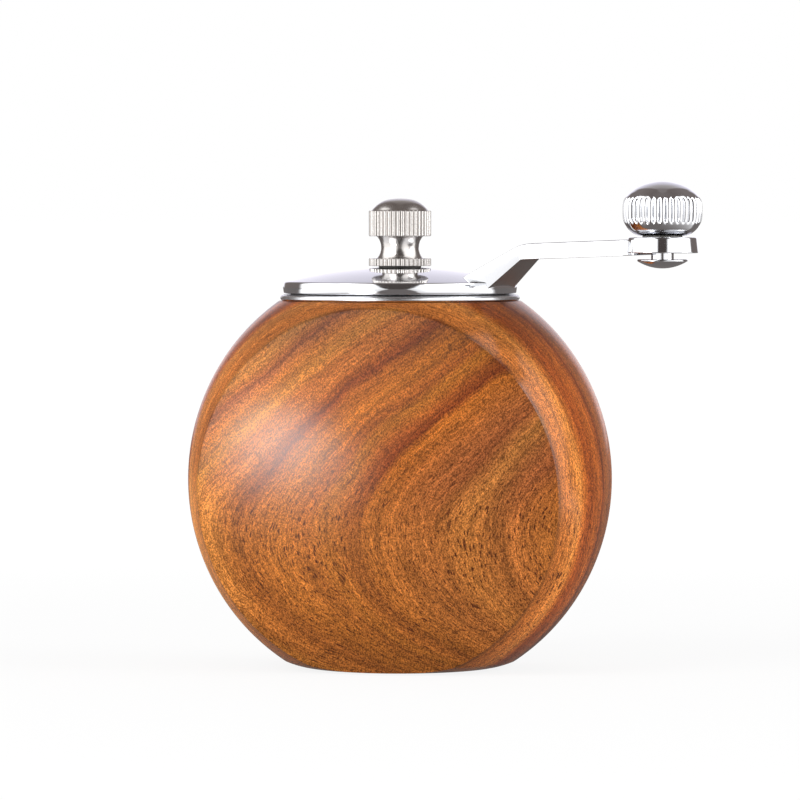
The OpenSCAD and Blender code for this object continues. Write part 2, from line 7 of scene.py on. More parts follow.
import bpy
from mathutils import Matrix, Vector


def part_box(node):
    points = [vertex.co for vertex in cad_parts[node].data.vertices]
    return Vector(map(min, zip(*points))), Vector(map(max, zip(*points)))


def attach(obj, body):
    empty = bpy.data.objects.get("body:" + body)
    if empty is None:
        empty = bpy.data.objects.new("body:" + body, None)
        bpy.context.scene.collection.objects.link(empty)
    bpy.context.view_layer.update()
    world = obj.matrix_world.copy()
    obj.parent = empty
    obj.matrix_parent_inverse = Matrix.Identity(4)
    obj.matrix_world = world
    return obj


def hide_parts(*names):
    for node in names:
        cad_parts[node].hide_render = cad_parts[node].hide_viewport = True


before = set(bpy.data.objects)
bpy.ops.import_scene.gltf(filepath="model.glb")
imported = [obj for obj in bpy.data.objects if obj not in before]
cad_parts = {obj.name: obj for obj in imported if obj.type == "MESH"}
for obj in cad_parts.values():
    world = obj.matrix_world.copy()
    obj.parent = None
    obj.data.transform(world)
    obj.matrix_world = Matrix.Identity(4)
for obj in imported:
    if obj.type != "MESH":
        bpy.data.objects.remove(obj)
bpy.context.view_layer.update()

# %% [markdown]
# ## Working in millimetres
# Blender counts in metres, and a mill is drawn in millimetres, so lengths are multiplied by MM where they enter a
# mesh. All the pieces share one axis, the vertical line through the origin, apart from the knob, which has its own.

# %% Names used all through
import math
from functools import partial

import bmesh
import bpy
from mathutils import Matrix, Vector

MM = 0.001
AXIS = (0.0, 0.0)
CRANK_ANGLE = math.radians(-16.2)   # where the arm points at rest, from +X
CRANK_R = 61.7                      # from the mill's axis to the knob's
knob_low, knob_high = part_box("knob")
KNOB = ((knob_low.x + knob_high.x) / 2 / MM, (knob_low.y + knob_high.y) / 2 / MM)
print("knob axis at", [round(v, 2) for v in KNOB], "mm")


def foot_of(node):
    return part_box(node)[0].z / MM


def top_of(node):
    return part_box(node)[1].z / MM


# %% [markdown]
# ## Colours and shader nodes
# Colours are written as the hex codes that a paint shop or web page uses. Those are sRGB, while a shader wants linear
# light, so one function converts them. A second one adds a node, sets it and links it, and hands back the output
# that the next node needs. Each material gets it as "add", bound to its own tree.

# %% Colour and node helpers
def colour(code):
    parts = [int(code[i:i + 2], 16) / 255 for i in (1, 3, 5)]
    return [c / 12.92 if c < 0.04045 else ((c + 0.055) / 1.055) ** 2.4 for c in parts] + [1.0]


def add_node(tree, kind, *values, out=0, stops=(), **named):
    """Adds a node and gives back one output, by its place or its name.

    A kind in capitals is an operation of a Math node. Values feed the inputs in order, so a Map Range gets its value,
    the range it comes from and the range it goes to. A name in small letters is a setting, and one with a capital is
    an input. Stops are the (place, colour) marks of a colour ramp or the (x, y) points of a curve.
    """
    node = tree.nodes.new("ShaderNode" + ("Math" if kind.isupper() else kind))
    if kind.isupper():
        node.operation = kind
    for name, value in named.items():
        if name[0].islower():
            setattr(node, name, value)
    live = [socket for socket in node.inputs if socket.enabled]
    by_name = {socket.name: socket for socket in reversed(live)}
    pairs = list(zip(live, values))
    pairs += [(by_name[name.replace("_", " ")], value) for name, value in named.items() if name[0].isupper()]
    for socket, value in pairs:
        if isinstance(value, bpy.types.NodeSocket):
            tree.links.new(value, socket)
        elif value is not None:
            socket.default_value = value
    if stops:
        curve = node.mapping.curves[0] if hasattr(node, "mapping") else None
        marks = curve.points if curve else node.color_ramp.elements
        while len(marks) < len(stops):
            marks.new(*((0.5, 0.5) if curve else (0.5,)))
        for mark, (place, value) in zip(marks, stops):
            if curve:
                mark.location = (place, value)
            else:
                mark.position = place
                mark.color = value if not isinstance(value, str) else colour(value)
        if curve:
            node.mapping.update()
    outputs = [socket for socket in node.outputs if socket.enabled]
    if not outputs:
        return node
    return outputs[out] if isinstance(out, int) else next(socket for socket in outputs if socket.name == out)


def new_material(name, **principled):
    """A material with a Principled shader, whose inputs are values here and links later."""
    material = bpy.data.materials.new(name)
    material.use_nodes = True
    tree = material.node_tree
    shader = tree.nodes["Principled BSDF"]
    for key, value in principled.items():
        shader.inputs[key.replace("_", " ")].default_value = value
    return material, partial(add_node, tree), shader


def feed(shader, **sockets):
    """Links finished outputs to the shader's inputs."""
    for name, socket in sockets.items():
        shader.id_data.links.new(socket, shader.inputs[name.replace("_", " ")])


# %% [markdown]
# ## Turned pieces
# Nearly everything here came off a lathe, so one helper does what a turner does: it starts with a circle and
# extrudes it ring by ring along an outline of (radius, height) points. Round stretches of an outline are arcs.

# %% Lathe helper
def arc(centre, radius, start, end, steps):
    turns = [math.radians(start + (end - start) * i / steps) for i in range(steps + 1)]
    return [(centre[0] + radius * math.cos(a), centre[1] + radius * math.sin(a)) for a in turns]


def smooth_curve(points, parts=3):
    """Rounds an outline: a Catmull-Rom curve through its points, in a few parts between each pair."""
    ends = [points[0]] + points + [points[-1]]
    curve = []
    for before, here, there, after in zip(ends, ends[1:], ends[2:], ends[3:]):
        for i in range(parts):
            u = i / parts
            curve.append(tuple(0.5 * (2 * b + (c - a) * u + (2 * a - 5 * b + 4 * c - d) * u * u
                                      + (3 * b - a - 3 * c + d) * u ** 3)
                               for a, b, c, d in zip(before, here, there, after)))
    return curve + [points[-1]]


def pick(*pieces):
    """Selects these pieces and nothing else. The first is the active one."""
    bpy.ops.object.select_all(action="DESELECT")
    for piece in pieces:
        piece.select_set(True)
    bpy.context.view_layer.objects.active = pieces[0]


def edit(piece):
    pick(piece)
    bpy.ops.object.mode_set(mode="EDIT")


def settle(piece, smooth=30):
    """Leaves edit mode, puts the piece's place in its mesh and smooths all but its sharp edges."""
    if piece.mode == "EDIT":
        bpy.ops.object.mode_set(mode="OBJECT")
    pick(piece)
    bpy.ops.object.transform_apply()
    bpy.ops.object.shade_smooth_by_angle(angle=math.radians(smooth))
    return piece


def select_edges(piece, test):
    """Selects the edges whose two ends pass a test of place."""
    bpy.ops.mesh.select_mode(type="EDGE")
    bpy.ops.mesh.select_all(action="DESELECT")
    mesh = bmesh.from_edit_mesh(piece.data)
    for e in mesh.edges:
        if all(test(v.co) for v in e.verts):
            e.select_set(True)
    bmesh.update_edit_mesh(piece.data)
    print("  selected", sum(e.select for e in mesh.edges), "edges of", piece.name)


def close_up(piece, gap, smooth=30):
    """Merges points closer than a gap, turns every face outwards and settles the piece."""
    bpy.ops.mesh.select_all(action="SELECT")
    bpy.ops.mesh.remove_doubles(threshold=gap)
    bpy.ops.mesh.normals_make_consistent(inside=False)
    return settle(piece, smooth)


POLE_R = 1e-4            # an outline's point nearer the axis than this is a pole


def turned(name, outline, around=AXIS, steps=192, ring=False, smooth=30):
    """Turns an outline. It is closed at each end by a face or a pole, or joined up as a ring."""
    start_at_pole = outline[0][0] < POLE_R
    points = outline[1:] if start_at_pole else outline
    bpy.ops.object.select_all(action="DESELECT")
    bpy.ops.mesh.primitive_circle_add(vertices=steps, radius=points[0][0] * MM,
                                      location=(around[0] * MM, around[1] * MM, points[0][1] * MM))
    piece = bpy.context.active_object
    piece.name = name
    edit(piece)
    bpy.ops.mesh.select_all(action="SELECT")
    if not ring:
        bpy.ops.mesh.edge_face_add()
        if start_at_pole:
            bpy.ops.mesh.poke()
            mesh = bmesh.from_edit_mesh(piece.data)
            pole = min(mesh.verts, key=lambda v: v.co.xy.length)
            pole.co.z = (outline[0][1] - points[0][1]) * MM
            bmesh.update_edit_mesh(piece.data)
        select_edges(piece, lambda co: co.xy.length > points[0][0] * MM * 0.99)
    radius, height = points[0]
    loop = points[1:] + ([points[0]] if ring else [])
    for r, z in loop:
        bpy.ops.mesh.extrude_edges_move(TRANSFORM_OT_translate={"value": (0, 0, (z - height) * MM)})
        if r < POLE_R:
            bpy.ops.mesh.merge(type="CENTER")
            break
        if abs(r - radius) > 1e-9:
            k = r / radius
            bpy.ops.transform.resize(value=(k, k, 1), center_override=(around[0] * MM, around[1] * MM, z * MM))
        radius, height = r, z
    else:
        if not ring:
            bpy.ops.mesh.edge_face_add()
    return close_up(piece, 1e-7, smooth)


def change(piece, kind, **settings):
    """Adds a modifier of a kind, sets it and applies it."""
    pick(piece)
    modifier = piece.modifiers.new(kind, kind)
    for name, value in settings.items():
        setattr(modifier, name, value)
    bpy.ops.object.modifier_apply(modifier=kind)


def cut_with(piece, cutter, how="DIFFERENCE"):
    """Cuts a piece with another, by a Boolean, and removes the cutter."""
    change(piece, "BOOLEAN", operation=how, solver="EXACT", object=cutter)
    bpy.data.objects.remove(cutter)


def tell(piece):
    size = [round(d / MM, 2) for d in piece.dimensions]
    print(f"{piece.name}: {len(piece.data.polygons)} faces, {size} mm")


# %% [markdown]
# ## The wooden ball
# The ball could be a sphere with its sides sawn off by Booleans, but the cut would leave slivers along the crease
# between ball and cheek. Here the sphere's poles are laid on the cheeks instead. Its rings run parallel to the
# crease, a bisect makes one clean ring, and the cheek grows inwards from it ring by ring.

# %% Ball: half a sphere with its pole on the cheek
BALL_R = 45.0
BALL_MID = 40.0          # height of the middle of the ball
BALL_STRETCH = 1.023     # the ball is a little taller than a sphere
BALL_TOP = top_of("wood_body")
CHEEK_HALF = 23.4        # from the axis to the crease, at the middle
CHEEK_LEAN = math.radians(6.5)
CROWN_R = 260.0          # each cheek is domed to this radius


def add_ball_half():
    bpy.ops.object.select_all(action="DESELECT")
    bpy.ops.mesh.primitive_uv_sphere_add(segments=288, ring_count=144, radius=BALL_R * MM,
                                         rotation=(math.pi / 2 + CHEEK_LEAN, 0, 0), location=(0, 0, BALL_MID * MM))
    ball = bpy.context.active_object
    ball.name = "turned_ball"
    bpy.ops.object.transform_apply()
    edit(ball)
    bpy.ops.mesh.select_all(action="SELECT")
    outwards = Vector((0, -math.cos(CHEEK_LEAN), -math.sin(CHEEK_LEAN)))
    plane = CHEEK_HALF * math.cos(CHEEK_LEAN)
    middle = Vector((0, 0, BALL_MID * MM)) + outwards * plane * MM
    bpy.ops.mesh.bisect(plane_co=middle, plane_no=outwards, clear_outer=True, threshold=1e-6)
    crease_r = math.sqrt(BALL_R ** 2 - plane ** 2)
    span = math.asin(crease_r / CROWN_R)
    radius, depth, steps = crease_r, 0.0, 48
    select_edges(ball, lambda co: abs((co - middle).dot(outwards)) < 1e-6)
    for i in range(1, steps + 1):
        a = span * (1 - i / steps)
        r = CROWN_R * math.sin(a)
        d = CROWN_R * (math.cos(a) - math.cos(span))
        step = outwards * (d - depth) * MM
        bpy.ops.mesh.extrude_edges_move(TRANSFORM_OT_translate={"value": step})
        if i == steps:
            bpy.ops.mesh.merge(type="CENTER")
            break
        centre = middle + outwards * d * MM
        bpy.ops.transform.resize(value=(r / radius,) * 3, center_override=centre)
        radius, depth = r, d
    bpy.ops.mesh.select_all(action="SELECT")
    bpy.ops.mesh.bisect(plane_co=(0, 0, 0), plane_no=(0, 1, 0), clear_outer=True, threshold=1e-6)
    return ball


ball = add_ball_half()

# %% [markdown]
# The back half mirrors the front. The ball is a little taller than a sphere, so all of it is scaled upwards. To
# stretch only a band round the middle would kink the cheeks, which lean. One more bisect cuts the top flat. The foot
# is cut by a turned dish, flat in the middle and rounding up towards the ball, which softens the foot's edge.

# %% Ball: mirror, scale, and cut flat
FOOT_FLAT, FOOT_ARC = 17.8, 16.8   # radius of the dish's flat, and of the arc beyond it

bpy.ops.object.mode_set(mode="OBJECT")
change(ball, "MIRROR", use_axis=(False, True, False), use_clip=True, merge_threshold=2e-6)
edit(ball)
bpy.ops.mesh.select_all(action="SELECT")
bpy.ops.transform.resize(value=(1, 1, BALL_STRETCH), center_override=(0, 0, BALL_MID * MM))
bpy.ops.mesh.bisect(plane_co=(0, 0, BALL_TOP * MM), plane_no=(0, 0, 1), clear_outer=True, use_fill=True,
                    threshold=1e-6)
close_up(ball, 0.02 * MM)

dish_outline = arc((FOOT_FLAT, FOOT_ARC), FOOT_ARC, -90, -60, 12)[1:] + [(62.0, 22.9), (62.0, 100.0)]
dish = turned("dish", [(FOOT_FLAT, 0.0)] + dish_outline, steps=256)
cut_with(ball, dish, "INTERSECT")
settle(ball)
tell(ball)

# %% [markdown]
# The bore, funnel and hopper are one turned tool, sunk from above and below with a Boolean. It only meets the flat
# top and base, so the outside keeps its clean rings. The recess under the base has an ear over each screw.

# %% Ball: bore it
GAP = 0.05               # left between pieces that fit in one another
HOPPER_R, FUNNEL_H = 17.0, 4.0
HOUSING_WALL, FLANGE_W, FLANGE_T = 1.5, 1.4, 1.2
SKIRT_R, SKIRT_IN, SKIRT_H = 19.8, 18.7, 6.0
SCREW_X = 15.7           # from the axis to each base screw
housing_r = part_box("burr_ring")[1].x / MM + GAP + HOUSING_WALL + GAP
flange_r = housing_r + FLANGE_W
ear_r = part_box("base_plate")[1].x / MM - SCREW_X + GAP
recess_top = foot_of("burr_housing") + FLANGE_T + GAP
funnel_foot = top_of("burr_housing") + 2 * GAP
skirt_seat = foot_of("collar_ring") - GAP

bore = turned("bore", [(flange_r, -1.0), (flange_r, recess_top), (housing_r, recess_top), (housing_r, funnel_foot),
                       (HOPPER_R, funnel_foot + FUNNEL_H), (HOPPER_R, skirt_seat), (SKIRT_R + GAP, skirt_seat),
                       (SKIRT_R + GAP, BALL_TOP + 1)], steps=128)
cut_with(ball, bore)
for side in (-1, 1):
    ear = turned("ear", [(ear_r, -1.0), (ear_r, recess_top)], around=(side * SCREW_X, 0), steps=64)
    cut_with(ball, ear)
settle(ball)
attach(ball, "mill")
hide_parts("wood_body")
tell(ball)

# %% [markdown]
# ## The collar
# The collar is spun from sheet and chromed: a rounded flange on the wood and a thin skirt pressed into it. Weighted
# normals let a flat face keep its own normal beside the small faces of a round, so that flats mirror as flats.

# %% Collar
COLLAR_R, COLLAR_T = 25.4, 1.3
half_t = COLLAR_T / 2
collar_outline = ([(SKIRT_IN, BALL_TOP + COLLAR_T)] + arc((COLLAR_R - half_t, BALL_TOP + half_t), half_t, 90, -90, 12)
                  + [(SKIRT_R, BALL_TOP), (SKIRT_R, BALL_TOP - SKIRT_H), (SKIRT_IN, BALL_TOP - SKIRT_H)])
collar = turned("spun_collar", collar_outline, ring=True, steps=256)
change(collar, "WEIGHTED_NORMAL", keep_sharp=True)
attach(collar, "mill")
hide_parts("collar_ring")
tell(collar)

# %% [markdown]
# ## The lid
# The lid is one casting with the crank arm. Its dome is a shallow cap with a bulged, well rounded rim, and it is
# hollow below, between a hub for the square shaft and a ring that centres it in the collar.

# %% Lid
GUIDE_IN, GUIDE_OUT, GUIDE_DROP = 16.9, 18.4, 3.0   # the ring that centres the lid
LID_Z = foot_of("crank_lid") + GUIDE_DROP
LID_R, LID_WALL = 24.8, 1.8
DOME_R = 98.0
CROWN_Z = LID_Z + 5.65
SEAT_R, SEAT_Z = 5.0, CROWN_Z - 0.22
HUB_R, HUB_FOOT = 5.5, LID_Z - 2.6
SHAFT_HOLE = 2.3


def dome_z(r, shell=0.0):
    return CROWN_Z - DOME_R + math.sqrt((DOME_R - shell) ** 2 - r * r)


rim_mid = LID_Z + (dome_z(LID_R) - LID_Z) / 2
rim_round = 0.55
top_lip = dome_z(LID_R - rim_round) - rim_round
lid_outline = [(HUB_R, HUB_FOOT)] + [(r, dome_z(r, LID_WALL)) for r in (HUB_R, 8, 11, 14, GUIDE_IN)]
lid_outline += [(GUIDE_IN, LID_Z - GUIDE_DROP), (GUIDE_OUT, LID_Z - GUIDE_DROP), (GUIDE_OUT, LID_Z)]
lid_outline += arc((LID_R - 0.5, LID_Z + 0.4), 0.4, -90, -20, 5)
lid_outline += arc((LID_R - 2.5, rim_mid), 2.5, -14, 12, 6)
lid_outline += arc((LID_R - rim_round - 0.1, top_lip), rim_round, 15, 82, 6)
lid_outline += [(r, dome_z(r)) for r in (23.4, 22, 20, 18, 16, 14, 12, 10, 8, 6.6, 5.4)]
lid_outline += [(SEAT_R, SEAT_Z), (SHAFT_HOLE, SEAT_Z), (SHAFT_HOLE, HUB_FOOT)]
lid = turned("crank_casting", lid_outline, ring=True, steps=288, smooth=35)
tell(lid)

# %% [markdown]
# The arm leaves the rim as a wide slanting strap, bends and runs out almost level to the boss. It starts as one flat
# square under the dome, which is extruded from station to station and scaled to the arm's width and thickness there.
# Near the boss the strap widens along an arc, which makes the fillets. Its upper edges are polished rounder than the
# lower ones.

# %% Arm: stations along its length
BEND_R, BEND_UP, ARM_RISE, ARM_T = 31.0, 10.7, 1.2, 3.3   # the bend's place, the rise beyond it, the thickness
ARM_W, ROOT_W, ROOT_R = 8.4, 12.2, 19.0                   # the width, the root's width, and where the root is widest
BOSS_R, BOSS_T = 7.1, 3.25
SLOPE = math.radians(30)
LEVEL = math.atan(ARM_RISE / (CRANK_R - BEND_R))
BEND_ROUND, FILLET = 7.0, 3.2
FLARE = FILLET * 0.92    # the fillet's length before it meets the boss
bend_z = LID_Z + BEND_UP
reach = BEND_ROUND * math.tan((SLOPE - LEVEL) / 2)
bend_centre = (BEND_R - reach * math.cos(SLOPE) + BEND_ROUND * math.sin(SLOPE),
               bend_z - reach * math.sin(SLOPE) - BEND_ROUND * math.cos(SLOPE))
under_start, under_bend = (LID_R - 0.9, LID_Z + 1.1), (BEND_R, bend_z - ARM_T)
under_end = bend_z + ARM_RISE - ARM_T
flare_start = CRANK_R - math.sqrt((BOSS_R + FILLET) ** 2 - (ARM_W / 2 + FILLET) ** 2)


def arm_top(t):
    """Height of the arm's upper side at a distance t from the axis."""
    a0, a1 = bend_centre[0] - BEND_ROUND * math.sin(SLOPE), bend_centre[0] - BEND_ROUND * math.sin(LEVEL)
    if t < a0:
        return bend_z - (BEND_R - t) * math.tan(SLOPE)
    if t < a1:
        return bend_centre[1] + math.sqrt(BEND_ROUND ** 2 - (t - bend_centre[0]) ** 2)
    return bend_z + (t - BEND_R) * math.tan(LEVEL)


def arm_under(t):
    if t < under_start[0]:
        return under_start[1]
    if t < BEND_R:
        part = (t - under_start[0]) / (under_bend[0] - under_start[0])
        return under_start[1] + part * (under_bend[1] - under_start[1])
    return under_bend[1] + (t - BEND_R) * (under_end - under_bend[1]) / (CRANK_R - BEND_R)


def arm_half(t):
    """Half the arm's width: wide at the rim, narrow past the bend, and flared into the boss."""
    if t < BEND_R:
        grow = (ROOT_W - ARM_W) / 2 / (BEND_R - LID_R + 1)
        return ARM_W / 2 + grow * (BEND_R - max(t, ROOT_R))
    if t > flare_start:
        d = min(t - flare_start, FLARE)
        return ARM_W / 2 + FILLET - math.sqrt(FILLET ** 2 - d ** 2)
    return ARM_W / 2


# from the root to the boss, closest where the arm bends and where it flares
stations = [18.2, 19.5, 21, 22.5, LID_R - 0.9, 25.5, 27, 28] + [28.6 + 0.35 * i for i in range(9)]
stations += [33, 36, 40, 45, 50, flare_start] + [flare_start + FLARE * i / 9 for i in range(1, 10)]
stations += [CRANK_R - BOSS_R / 2]


def add_arm():
    bpy.ops.object.select_all(action="DESELECT")
    bpy.ops.mesh.primitive_plane_add(size=1, location=(0, 0, 0), rotation=(0, math.pi / 2, 0))
    arm = bpy.context.active_object
    arm.name = "arm"
    bpy.ops.object.transform_apply()
    edit(arm)
    bpy.ops.mesh.select_all(action="SELECT")
    t = stations[0]
    tall, wide = arm_top(t) - arm_under(t), 2 * arm_half(t)
    bpy.ops.transform.resize(value=(1, wide * MM, tall * MM), center_override=(0, 0, 0))
    bpy.ops.transform.translate(value=(t * MM, 0, (arm_top(t) - tall / 2) * MM))
    for n in stations[1:]:
        new_tall, new_wide = arm_top(n) - arm_under(n), 2 * arm_half(n)
        mid, new_mid = arm_top(t) - tall / 2, arm_top(n) - new_tall / 2
        bpy.ops.mesh.extrude_region_move(
            TRANSFORM_OT_translate={"value": ((n - t) * MM, 0, (new_mid - mid) * MM)})
        bpy.ops.transform.resize(value=(1, new_wide / wide, new_tall / tall),
                                 center_override=(n * MM, 0, new_mid * MM))
        t, tall, wide = n, new_tall, new_wide
    bpy.ops.mesh.select_all(action="SELECT")
    bpy.ops.mesh.normals_make_consistent(inside=False)
    for side in (-1, 1):
        select_edges(arm, lambda co: abs(co.z / MM - arm_top(co.x / MM)) < 0.01
                    and abs(side * co.y / MM - arm_half(co.x / MM)) < 0.01)
        bpy.ops.mesh.bevel(offset=0.5 * MM, segments=4, profile=0.5, affect="EDGES")
    bpy.ops.object.mode_set(mode="OBJECT")
    change(arm, "BEVEL", width=0.12 * MM, segments=2, limit_method="ANGLE", angle_limit=math.radians(50))
    return settle(arm, 35)


arm = add_arm()
tell(arm)

# %% [markdown]
# The boss is a short disc with a bore for the knob's screw. Arm and boss are turned to the arm's rest direction and
# joined to the lid, because all three are one casting.

# %% Boss, and the casting as one piece
BOSS_TOP = bend_z + ARM_RISE + 0.2
BOSS_FOOT = BOSS_TOP - BOSS_T
BOSS_BORE = 2.43
boss_outline = ([(BOSS_BORE, BOSS_FOOT), (BOSS_R + 0.1, BOSS_FOOT)]
                + arc((BOSS_R + 0.05, BOSS_FOOT + 0.25), 0.25, -60, 0, 3)
                + arc((BOSS_R - 0.3, BOSS_TOP - 0.3), 0.3, 0, 90, 4) + [(BOSS_BORE, BOSS_TOP)])
boss = turned("boss", boss_outline, around=(CRANK_R, 0), ring=True, steps=128, smooth=40)
pick(arm, boss)
bpy.ops.object.join()
arm.matrix_world = Matrix.Rotation(CRANK_ANGLE, 4, "Z")
bpy.ops.object.transform_apply()
pick(lid, arm)
bpy.ops.object.join()
settle(lid, 35)
change(lid, "WEIGHTED_NORMAL", keep_sharp=True)
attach(lid, "lid")
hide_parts("crank_lid")
tell(lid)

# %% [markdown]
# ## Knurls and flutes
# A knurling wheel presses straight V grooves round a band, and the metal between them rises into rounded lands. A
# Boolean with a star-shaped prism would leave flat lands and slivers. Here the band is turned with eight corners to
# each groove. The corners at its bottom are then scaled inwards the most, and their neighbours less.

# %% Groove helper
CORNERS = 8
GROOVE = (((0,), 1.0), ((1, 7), 0.42), ((2, 6), 0.16), ((3, 5), 0.03))   # corners, and their share of the depth


def press_grooves(piece, count, deep, low, high, around, least, fade):
    """Presses V grooves into the rings between two heights and beyond a least radius, all in mm.

    Over the fade, at each end of the band, the grooves grow shallower, so the lands end in rounded tips.
    """
    edit(piece)
    bpy.ops.mesh.select_mode(type="VERT")
    mesh = bmesh.from_edit_mesh(piece.data)
    middle = Vector((around[0] * MM, around[1] * MM))
    heights = sorted({round(v.co.z / MM, 4) for v in mesh.verts if low < v.co.z / MM < high})
    for height in heights:
        ends = min(height - low, high - height) / fade if fade else 1.0
        fading = math.sin(math.pi / 2 * min(ends, 1.0))
        for places, share in GROOVE:
            mesh = bmesh.from_edit_mesh(piece.data)
            radius = 0
            for v in mesh.verts:
                flat = v.co.xy - middle
                corner = round(math.atan2(flat.y, flat.x) / math.tau * count * CORNERS) % CORNERS
                near = abs(v.co.z / MM - height) < 1e-3 and flat.length > least * MM and corner in places
                v.select_set(near)
                if near:
                    radius = flat.length
            mesh.select_flush_mode()
            bmesh.update_edit_mesh(piece.data)
            if radius:
                k = 1 - share * deep * fading * MM / radius
                bpy.ops.transform.resize(value=(k, k, 1), center_override=(middle.x, middle.y, height * MM))
    print("pressed", count, "grooves into", len(heights), "rings of", piece.name)
    return settle(piece, 50)


# %% [markdown]
# ## The finial
# The finial is a nut: a thin knurled disc, a hollow waist for two fingertips, and a knurled head under a low dome.

# %% Finial
FINIAL_R, STUD_BORE = 6.6, 2.08
KNURLS, KNURL_DEEP = 42, 0.4
# (radius, drop below the top) of the dome, flatter in the middle than a ball
FINIAL_DOME = [(6.1, 2.6), (5.9, 2.4), (5.5, 1.95), (5.0, 1.47), (4.5, 1.08), (4.0, 0.77), (3.5, 0.52), (3.0, 0.35),
               (2.4, 0.2), (1.5, 0.07), (0.7, 0.015), (0, 0)]
fin_z = foot_of("finial")
disc_top, head_z = fin_z + 1.6, fin_z + 6.3
head_top = head_z + 5.4
waist_mid = (disc_top + head_z) / 2
finial_outline = ([(STUD_BORE + 0.02, fin_z), (FINIAL_R - 0.1, fin_z), (FINIAL_R, fin_z + 0.1),
                   (FINIAL_R, disc_top - 0.1), (FINIAL_R - 0.1, disc_top), (5.0, disc_top)]
                  + arc((7.5, waist_mid), 3.5, 222, 138, 20)
                  + [(5.1, head_z), (FINIAL_R - 0.15, head_z), (FINIAL_R, head_z + 0.15),
                     (FINIAL_R, head_top - 0.12), (FINIAL_R - 0.12, head_top)]
                  + smooth_curve([(r, head_top + 2.6 - drop) for r, drop in FINIAL_DOME], 3))
finial = turned("knurled_finial", finial_outline, steps=KNURLS * CORNERS, smooth=28)
press_grooves(finial, KNURLS, KNURL_DEEP, fin_z - 0.1, head_top + 0.05, AXIS, FINIAL_R - 0.3, 0)
cut_with(finial, turned("stud_bore", [(STUD_BORE, fin_z - 1), (STUD_BORE, fin_z + 10.2)], steps=64))
settle(finial, 45)
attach(finial, "finial")
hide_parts("finial")
tell(finial)

# %% [markdown]
# ## The knob and its screw
# The knob is a small mushroom: a rounded foot, a fluted band and a dome. A shoulder screw with a domed head holds it
# in the boss from below and turns with it.

# %% Knob
KNOB_FLUTES, FLUTE_DEEP = 38, 0.56
SHANK_R, SHOULDER_R = 2.0, 2.35
knob_z, knob_top = foot_of("knob"), top_of("knob")
# (radius, drop below the top), from the bore's edge round the foot, up the band and over the dome
KNOB_OUTLINE = [(4.9, 11.2), (5.85, 10.84), (6.2, 10.63), (6.74, 10.2), (7.14, 9.8), (7.42, 9.4), (7.7, 8.97),
                (7.95, 8.5), (8.1, 8.1), (8.19, 7.6), (8.24, 6.9), (8.25, 6.2), (8.24, 5.4), (8.2, 4.7), (8.12, 4.2),
                (7.94, 3.7), (7.7, 3.36), (7.4, 3.02), (7.15, 2.76), (6.72, 2.34), (6.18, 1.93), (5.59, 1.5),
                (4.82, 1.1), (3.82, 0.68), (2.31, 0.27), (1.1, 0.06), (0, 0)]
knob_outline = [(SHANK_R + GAP, knob_z)] + smooth_curve([(r, knob_top - drop) for r, drop in KNOB_OUTLINE], 2)
knob = turned("fluted_knob", knob_outline, around=KNOB, steps=KNOB_FLUTES * CORNERS, smooth=28)
press_grooves(knob, KNOB_FLUTES, FLUTE_DEEP, knob_top - 8.75, knob_top - 3.25, KNOB, 6.0, 0.9)
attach(knob, "knob")
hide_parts("knob")
tell(knob)

# %% Knob screw
HEAD_R, HEAD_H, HEAD_ROUND = 5.15, 1.9, 0.25
screw_foot = foot_of("knob_screw")
head_rim = screw_foot + HEAD_H
dome_edge = head_rim - 0.42
rise = dome_edge - screw_foot
head_dome_r = (HEAD_R ** 2 + rise ** 2) / 2 / rise
dome_span = math.degrees(math.asin(HEAD_R / head_dome_r))
screw_outline = (arc((0, screw_foot + head_dome_r), head_dome_r, -90, dome_span - 90, 18)
                 + arc((5.0, head_rim - HEAD_ROUND), HEAD_ROUND, -40, 90, 5)
                 + [(SHOULDER_R, head_rim), (SHOULDER_R, knob_z - GAP), (SHANK_R, knob_z - GAP),
                    (SHANK_R, top_of("knob_screw"))])
screw = turned("knob_shoulder_screw", screw_outline, around=KNOB, steps=128)
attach(screw, "knob")
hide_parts("knob_screw")
tell(screw)

# %% [markdown]
# ## Chrome
# Bright chrome is a hard, bluish white metal plated over nickel. It has almost no colour or texture of its own and
# shows the room instead, so it is a plain metal with low roughness. The lid and arm are a plated zinc casting, whose
# skin keeps a faint orange peel, about a millimetre across, that makes reflections waver. A polishing wheel can't
# reach under the strap, so the metal stays rough there, and its darker tint there is painted shade. The turned knob
# is cleaner, and the knurled finial and the spun collar are duller. Handling leaves smears a few millimetres wide,
# where the shine is a little weaker.

# %% Chrome
def chrome_material(name, peel, rough=0.06, tint="#cfd0d3"):
    """Bright chrome plate. Peel is the strength of the metal's orange peel under the plate."""
    material, add, shader = new_material(name, Base_Color=colour(tint), Metallic=1.0)
    place = add("TexCoord", out="Object")
    wave = add("TexNoise", place, Scale=1 / (1.1 * MM), Detail=2.0)
    feed(shader, Normal=add("Bump", Strength=peel, Distance=0.05 * MM, Height=wave))
    smear = add("TexNoise", place, Scale=1 / (6 * MM), Detail=3.0)
    feed(shader, Roughness=add("MapRange", smear, 0.4, 0.7, rough, rough + 0.06))
    return material


def coat_with(material, *pieces):
    for piece in pieces:
        if not piece.material_slots:
            piece.data.materials.append(material)
        for slot in piece.material_slots:
            slot.material = material
    print(material.name, "on", [piece.name for piece in pieces])


